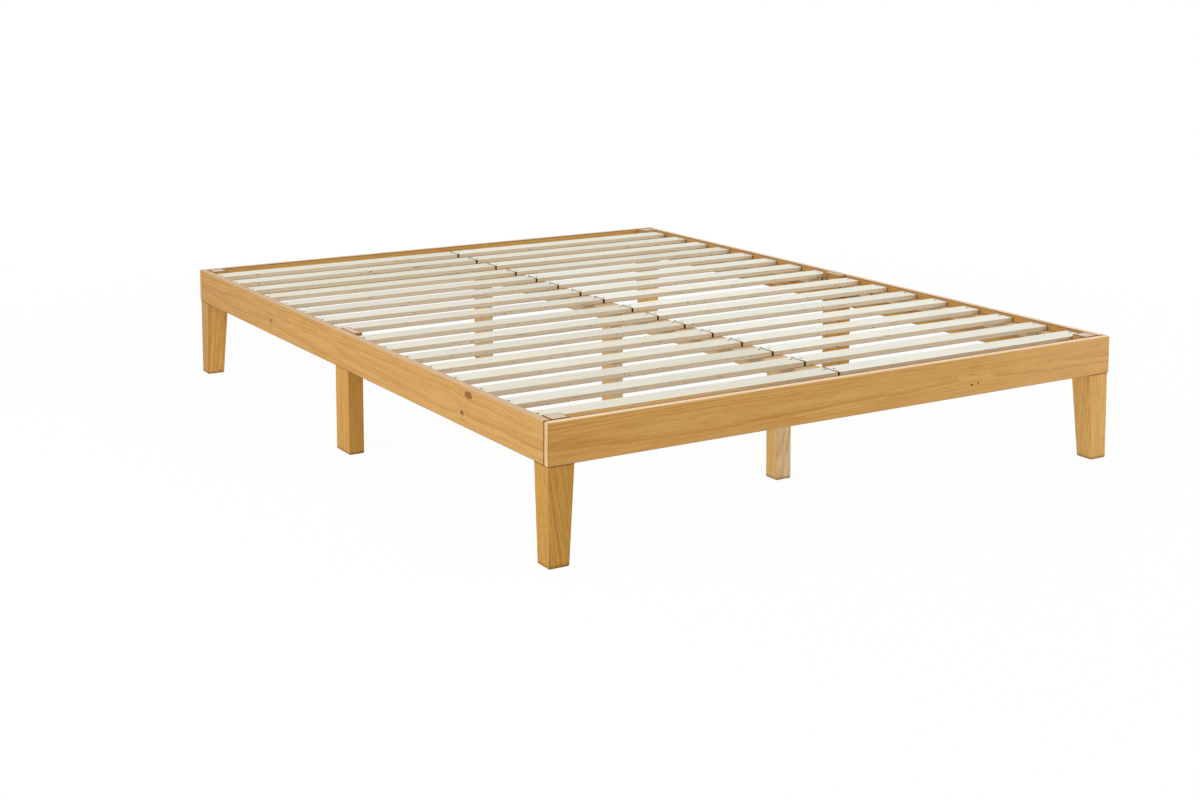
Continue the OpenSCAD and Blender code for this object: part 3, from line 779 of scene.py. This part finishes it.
class BEDFRAME_OT_rails(Step, bpy.types.Operator):
    """Make the foot, head and side rails: eased boards with knots, outer edges rubbed and painted with a
    highlight
    """

    bl_idname = "bedframe.rails"
    bl_label = "Rails"

    def execute(self, context):
        t = timber()
        end_knots = ((0.3414, -0.0195, 0.0040, 0.0026, 1.0, 0.9), (0.3615, -0.0173, 0.0035, 0.0024, 0.8, 0.6),
                     (0.3573, 0.022, 0.024, 0.0100, 0.06, 0.1), (-0.7737, 0.0026, 0.010, 0.0012, 0.6, 0.1))
        side_knots = ((-0.695, 0.030, 0.016, 0.0080, 1.0, 0.3), (-0.664, -0.0153, 0.008, 0.0052, 1.0, 0.3),
                      (0.471, -0.007, 0.007, 0.0055, 0.8, 0.5))
        # way along with u pointing outwards, how much of the top is painted pale as sheen, how much paler the
        # board is painted towards its start as light falling off along it, the u where the top's painted
        # shadow line starts, how pale its rubbed edges with their painted highlight are, and knots placed
        # along x or y
        rails = (("foot_rail", "-x", 0.85, 0.09, -0.0026, (1.12, 1.20, 1.25), end_knots),
                 ("head_rail", "+x", 0.6, 0.0, 0.0, (1.0, 1.0, 1.0), ()),
                 ("left_side_rail", "+y", 0.85, 0.06, 0.0, (0.74, 0.73, 0.70), side_knots),
                 ("right_side_rail", "-y", 1.0, 0.0, 0.0, (1.0, 1.0, 1.0), ()))
        for node, along, top, fade, joint, wear_and_highlight_lift, knots in rails:
            sign, across_bed = (1 if along[0] == "+" else -1), along[1] == "x"
            turned_knots = tuple((sign * k[0], *k[1:]) for k in knots)
            cut = Cut(node, (-0.075, 0.004), spread=(0.02, 0.012), lean=0.006, tone=0.5)
            pine = stain(f"Stained pine, {node.split('_')[0]} rail", wear_and_highlight_lift=wear_and_highlight_lift, knots=turned_knots,
                         flat_share=top, fleck=0.35, lines=0.6, fade=fade, joint=joint)
            # the outer top arris is rubbed and takes a painted highlight; the other arrises and the ends are
            # painted dark as the shade in the joints and under the rail
            plain_board(node, along, "+z", t.rail_arris, t.rail_end, cut, "stained_rail", pine,
                        weights=(0.9 if across_bed else 0.5, -1.0, -0.2, -0.45),
                        end_weights=(-0.6, -1, -1, -0.6) if across_bed else (-1, -1, -1, -1),
                        end_mark=-0.1 if across_bed else 1.0)
        return {"FINISHED"}


class BEDFRAME_OT_corner_legs(Step, bpy.types.Operator):
    """Make the four corner legs: tapered below the rails, stepped in to a square post inside the corner"""

    bl_idname = "bedframe.corner_legs"
    bl_label = "Corner legs"

    def execute(self, context):
        t = timber()
        rail_low, rail_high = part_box("foot_rail")
        side_low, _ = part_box("right_side_rail")
        shoulder = rail_low.z - t.seat
        post_x, post_y = side_low.x - t.seat, -rail_high.y - t.seat
        # how the grain runs off each leg's faces, its colour, which on the right legs is partly a paler board
        # and partly painted light, and how much lighter its u than its v faces are painted, as light falls on
        # them
        kinds = {"left_foot_leg": ((-0.15, 0.02), (0.928, 0.890, 0.644), 0.11),
                 "right_foot_leg": ((0.03, -0.05), (1.22, 1.28, 1.45), 0.0),
                 "left_head_leg": ((0.05, 0.08), (1.00, 0.96, 0.90), 0.20),
                 "right_head_leg": ((-0.06, 0.05), (1.22, 1.28, 1.45), 0.0)}
        for side, x_face in (("left", "-x"), ("right", "+x")):
            for at_end, y_face in (("foot", "-y"), ("head", "+y")):
                node = f"{side}_{at_end}_leg"
                # v and u both point outwards, and which is x and which is y keeps the set right-handed
                swapped = x_face[0] != y_face[0]
                axes = board_axes("+z", x_face if swapped else y_face)
                low, high = box_in(axes, node)
                outer = high[1:]
                top = outer - low[1:]
                post = np.array([post_y, post_x] if swapped else [post_x, post_y])
                foot, lean = t.leg_foot, (top - t.leg_foot) / shoulder
                rows = z, inset, under, is_post, _ = post_rows(high[0], shoulder, (shoulder / 2,))
                place_high = np.where(is_post > 0, post, outer) - inset - under
                place_low = outer - np.where(is_post > 0, top, foot + lean * z) + inset
                tilt, lift, faces = kinds[node]
                cut = Cut(node, (-0.062, -0.050), spread=(0.018, 0.018), lean=0.03, tone=0.5, tilt=tilt)
                pine = leg_stain(f"Stained pine, {side} {at_end} leg", lift, faces, high[0], 0.6)
                leg(node, axes, rows, place_low, place_high, cut, pine, (-0.2, -0.35, -0.3, -0.35), -0.6)
        return {"FINISHED"}


class BEDFRAME_OT_side_legs(Step, bpy.types.Operator):
    """Make the two side legs: straight, notched under the rail and bolted up its inner face"""

    bl_idname = "bedframe.side_legs"
    bl_label = "Side legs"

    def execute(self, context):
        t = timber()
        rail_low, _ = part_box("right_side_rail")
        shoulder, post = rail_low.z - t.seat, rail_low.x - t.seat
        for node, face in (("left_side_leg", "-x"), ("right_side_leg", "+x")):
            axes = board_axes("+z", face)
            low, high = box_in(axes, node)
            rows = _, inset, under, is_post, _ = post_rows(high[0], shoulder)
            place_high = high[1:] - inset - (under + is_post * (high[2] - post)) * (0, 1)
            # painted shade: the side legs are painted darker, and by faces below 0 their front and back
            # darker than their sides, as light falls on them
            cut = Cut(node, (0.01, -0.055), spread=(0.02, 0.015), lean=0.02, tone=0.2, shade=-0.3)
            pine = leg_stain("Stained pine, side legs", (0.926, 0.888, 0.680), -0.17, high[0], 0.2)
            leg(node, axes, rows, low[1:] + inset, place_high, cut, pine, (-0.1, 0.1, -0.3, -0.3), -0.3)
        return {"FINISHED"}


class BEDFRAME_OT_centre_legs(Step, bpy.types.Operator):
    """Make the three square legs under the beam"""

    bl_idname = "bedframe.centre_legs"
    bl_label = "Centre legs"

    def execute(self, context):
        e = timber().post_arris
        for node in ("centre_leg_foot", "centre_leg_middle", "centre_leg_head"):
            axes = board_axes("+z", "-y")
            low, high = box_in(axes, node)
            rows = leg_rows((high[0] - e, 0, 0, 0, 0), (high[0] - 0.3 * e, 0.3 * e, 0, 0, 45),
                            (high[0], e, 0, 0, 90))
            cut = Cut(node, (-0.045, 0.050), spread=(0.015, 0.015), lean=0.08, tone=0.5)
            # painted light: the lift paints the centre legs paler and less yellow, standing in for the light
            # under the bed
            pine = stain("Stained pine, centre legs", (1.40, 1.84, 3.7), side=(0.863, 0.483, 0.114),
                         side_share=0.6, ring=6.0 * MM, lines=0.45, fleck=0.35, foot=-high[0] / 2)
            leg(node, axes, rows, low[1:] + rows[1], high[1:] - rows[1], cut, pine, (-0.1, 0.0, -0.2, -0.2))
        return {"FINISHED"}


class BEDFRAME_OT_bearers(Step, bpy.types.Operator):
    """Make the centre beam and the four ledgers, with sunk holes for the ledger screws"""

    bl_idname = "bedframe.bearers"
    bl_label = "Beam and ledgers"

    def execute(self, context):
        t = timber()
        cut = Cut("centre_beam", (0.0, -0.070), spread=(0.02, 0.02), lean=0.006, tone=0.4)
        plain_board("centre_beam", "+y", "+z", t.bearer_arris, t.post_arris, cut, "bare_timber",
                    bearer_pine(), weights=(0.5, 0.5, 0.9, 0.9))
        screws, _, _ = fasteners("ledger_screws")
        for side, face in (("left", "+x"), ("right", "-x")):
            for at_end in ("foot", "head"):
                node = f"{side}_{at_end}_ledger"
                cut = Cut(node, (0.004, -0.040), spread=(0.03, 0.02), lean=0.008, tone=0.4)
                screwed_board(node, "+y", face, t.bearer_arris, t.slat_arris, cut, "bare_timber",
                              bearer_pine(), weights=(0.6, 0.6, 0.2, 0.2), screws=screws, shank=0.0022,
                              head=0.004, reach=0.008)
        return {"FINISHED"}


class BEDFRAME_OT_slats(Step, bpy.types.Operator):
    """Make the slats: planed boards with two sunk screw holes each"""

    bl_idname = "bedframe.slats"
    bl_label = "Slats"

    def execute(self, context):
        t = timber()
        screws, _, _ = fasteners("slat_screws")
        for side in ("left", "right"):
            for number in range(1, 17):
                node = f"{side}_slat_{number:02d}"
                chance = np.random.default_rng(zlib.crc32(node.encode()) + 7)
                pith = (chance.uniform(-0.05, 0.05), -chance.uniform(0.03, 0.11))
                # painted light: the right bay's slat tops are painted paler, as they catch more light
                cut = Cut(node, pith, spread=(0, 0), lean=0.014, tone=1.0,
                          shade=2.2 if side == "right" else 0.0)
                # the top arrises take a painted highlight, and the lower arrises and the ends are painted
                # dark as the shade under the slat and in the gaps at its ends
                screwed_board(node, "+x", "+z", t.slat_arris, t.slat_end, cut, "slat_timber",
                              slat_pine(node == "left_slat_01"), weights=(0.15, 0.15, -0.5, -0.5),
                              end_weights=(-0.9, -0.9, -0.9, -0.9), screws=screws, shank=0.0020,
                              head=0.0035, reach=0.007)
        return {"FINISHED"}


class BEDFRAME_OT_bolts(Step, bpy.types.Operator):
    """Make the socket bolts and their washers, where the CAD has them"""

    bl_idname = "bedframe.bolts"
    bl_label = "Bolts and washers"

    def execute(self, context):
        # profiles run from a bolt's tip to the bottom of its socket; head is the head's height
        sides, head = 24, 4.0
        socket = hexagon(4.6, sides)
        for node in ("corner_bolts", "side_leg_bolts"):
            places, lines, lengths = fasteners(node)
            long = lengths[0] / MM
            profile = ((2.4, long), (3.0, long - 0.6), (3.0, head), (4.7, head), (5.0, head - 0.35),
                       (5.0, 1.4), (4.9, 0.75), (4.55, 0.25), (4.0, 0.0), (socket + 0.3, 0.0),
                       (socket, 0.25), (socket, 2.0), (0.6, 2.4))
            turned(node + "_steel", profile, places, lines, sides, False, bolt_steel(), [node])
        rings = solids_of("bolt_washers")
        low, high = np.array([r.min(0) for r in rings]), np.array([r.max(0) for r in rings])
        lines = np.eye(3)[np.argmin(high - low, 1)]
        thick = 1.5
        profile = ((3.3, 1.3), (3.6, thick), (7.2, thick), (7.5, 1.2), (7.5, 0.25), (7.2, 0.0), (3.6, 0.0),
                   (3.3, 0.1))
        turned("bolt_washers_steel", profile, (low + high) / 2 - lines * (thick / 2) * MM, lines, 32, True,
               bolt_steel(), ["bolt_washers"])
        return {"FINISHED"}


class BEDFRAME_OT_screws(Step, bpy.types.Operator):
    """Make the countersunk screws with a cross in each head"""

    bl_idname = "bedframe.screws"
    bl_label = "Screws"

    def execute(self, context):
        sides = 16
        dark = made("Blackened screw steel", metal, finish().screw, 0.85, (0.040, 0.031, 0.022),
                    metallic=0.0, shine=0.0)
        for node, width in (("slat_screws", 3.5), ("ledger_screws", 4.0), ("bracket_screws", 4.0)):
            places, lines, lengths = fasteners(node)
            long, cross = lengths[0] / MM, cross_slot(0.62 * width, 0.20 * width, sides)
            profile = ((0.3, long), (width * 0.36, long - 4.0), (width * 0.5, long * 0.5),
                       (width * 0.5, width * 0.55), (width * 0.96, 0.12), (width * 0.90, 0.0),
                       (cross + 0.12, 0.0), (cross * 0.9, 0.3), (cross * 0.55, 0.42 * width))
            turned(node + "_steel", profile, places, lines, sides, False, dark, [node])
        return {"FINISHED"}


class BEDFRAME_OT_fittings(Step, bpy.types.Operator):
    """Give the brackets, inserts and hanger bolts their finish; their CAD shapes stay"""

    bl_idname = "bedframe.fittings"
    bl_label = "Brackets and inserts"

    def execute(self, context):
        c = finish()
        pressed = made("Pressed bracket steel", metal, c.bracket, 0.45, (0.30, 0.30, 0.31), 1.0)
        zinc = made("Insert zinc", metal, c.insert, 0.40, (0.40, 0.36, 0.28))
        for node, material in (("beam_brackets", pressed), ("rail_inserts", zinc), ("beam_inserts", zinc),
                               ("centre_leg_bolts", bolt_steel())):
            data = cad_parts[node].data
            data.materials.clear()
            data.materials.append(material)
        return {"FINISHED"}


class BEDFRAME_OT_studio(Step, bpy.types.Operator):
    """Set the floor, the white surround, the lamps and the camera"""

    bl_idname = "bedframe.studio"
    bl_label = "Studio"

    def execute(self, context):
        scene, s = context.scene, context.scene.bed_frame.studio
        white, reach = (1.0, 1.0, 1.0, 1.0), 40.0
        corners = [(x * reach, y * reach, 0.0) for x, y in ((-1, -1), (1, -1), (1, 1), (-1, 1))]
        mesh = bpy.data.meshes.new("studio_floor")
        mesh.from_pydata(corners, [], [(0, 1, 2, 3)])
        floor = bpy.data.objects.new("studio_floor", mesh)
        scene.collection.objects.link(floor)
        # the floor turns to plain white between these distances from the bed's middle
        near, far = 1.3, 3.2
        m = Recipe(bpy.data.materials.new("Studio floor"))
        x, y, _ = m.parts(m.node("TexCoord", output="Object"))
        away = (x * x + y * y).root().rise(near, far)
        glowing = m.plain_rays() * (s.floor_glow + away * (1.0 - s.floor_glow))
        paint = m.node("BsdfDiffuse", values={"Color": (0.94, 0.94, 0.94, 1.0)})
        glow = m.node("Emission", values={"Color": white, "Strength": 1.0})
        mesh.materials.append(m.ends_in(m.node("MixShader", values={0: glowing, 1: paint, 2: glow})))

        w = Recipe(bpy.data.worlds.new("White surround"))
        lit, plain = (w.node("Background", values={"Color": white, "Strength": level})
                      for level in (s.sky, 1.0))
        scene.world = w.ends_in(w.node("MixShader", values={0: w.plain_rays(), 1: lit, 2: plain}), "World")

        low, high = CAD_BOX
        middle = (low + high) / 2
        # place and width in metres, and watts at a strength of 1
        for name, place, width, power in (("key_lamp", (-3.4, -0.7, 3.2), 3.2, 230 * s.key),
                                          ("fill_lamp", (3.5, -2.3, 2.2), 3.0, 60 * s.fill)):
            data = bpy.data.lights.new(name, "AREA")
            data.shape, data.size, data.energy = "DISK", width, power
            lamp = bpy.data.objects.new(name, data)
            lamp.location = place
            lamp.rotation_euler = (middle - lamp.location).to_track_quat("-Z", "Y").to_euler()
            scene.collection.objects.link(lamp)

        data = bpy.data.cameras.new("camera")
        data.lens, data.sensor_width, data.clip_end = s.lens, 36.0, 200.0
        data.shift_x, data.shift_y = s.shift
        camera = bpy.data.objects.new("camera", data)
        camera.location = s.place
        camera.rotation_euler = Euler((math.pi / 2 - s.tilt, 0.0, -s.heading))
        scene.collection.objects.link(camera)
        scene.camera = camera
        scene.view_settings.view_transform = "Standard"
        return {"FINISHED"}


class BEDFRAME_PT_panel(bpy.types.Panel):
    """The bed frame's sizes, colours and steps"""

    bl_label = "Bed Frame"
    bl_idname = "BEDFRAME_PT_panel"
    bl_space_type = "VIEW_3D"
    bl_region_type = "UI"
    bl_category = "Bed Frame"

    def draw(self, context):
        groups = context.scene.bed_frame
        for group in (groups.timber, groups.finish, groups.studio):
            box = self.layout.box()
            box.label(text=group.__doc__)
            for name in group.__annotations__:
                box.prop(group, name)
        for step in STEPS:
            self.layout.operator(step.bl_idname)


STEPS = tuple(Step.__subclasses__())  # in the order in which they stand above
CLASSES = (BEDFRAME_PG_timber, BEDFRAME_PG_finish, BEDFRAME_PG_studio, BEDFRAME_PG_all, *STEPS,
           BEDFRAME_PT_panel)


def register():
    for one in CLASSES:
        bpy.utils.register_class(one)
    bpy.types.Scene.bed_frame = PointerProperty(type=BEDFRAME_PG_all)


def unregister():
    del bpy.types.Scene.bed_frame
    for one in reversed(CLASSES):
        bpy.utils.unregister_class(one)


def main():
    """Registers and runs every step in order."""
    register()
    for step in STEPS:
        group, name = step.bl_idname.split(".")
        getattr(getattr(bpy.ops, group), name)()


if __name__ == "__main__":
    main()
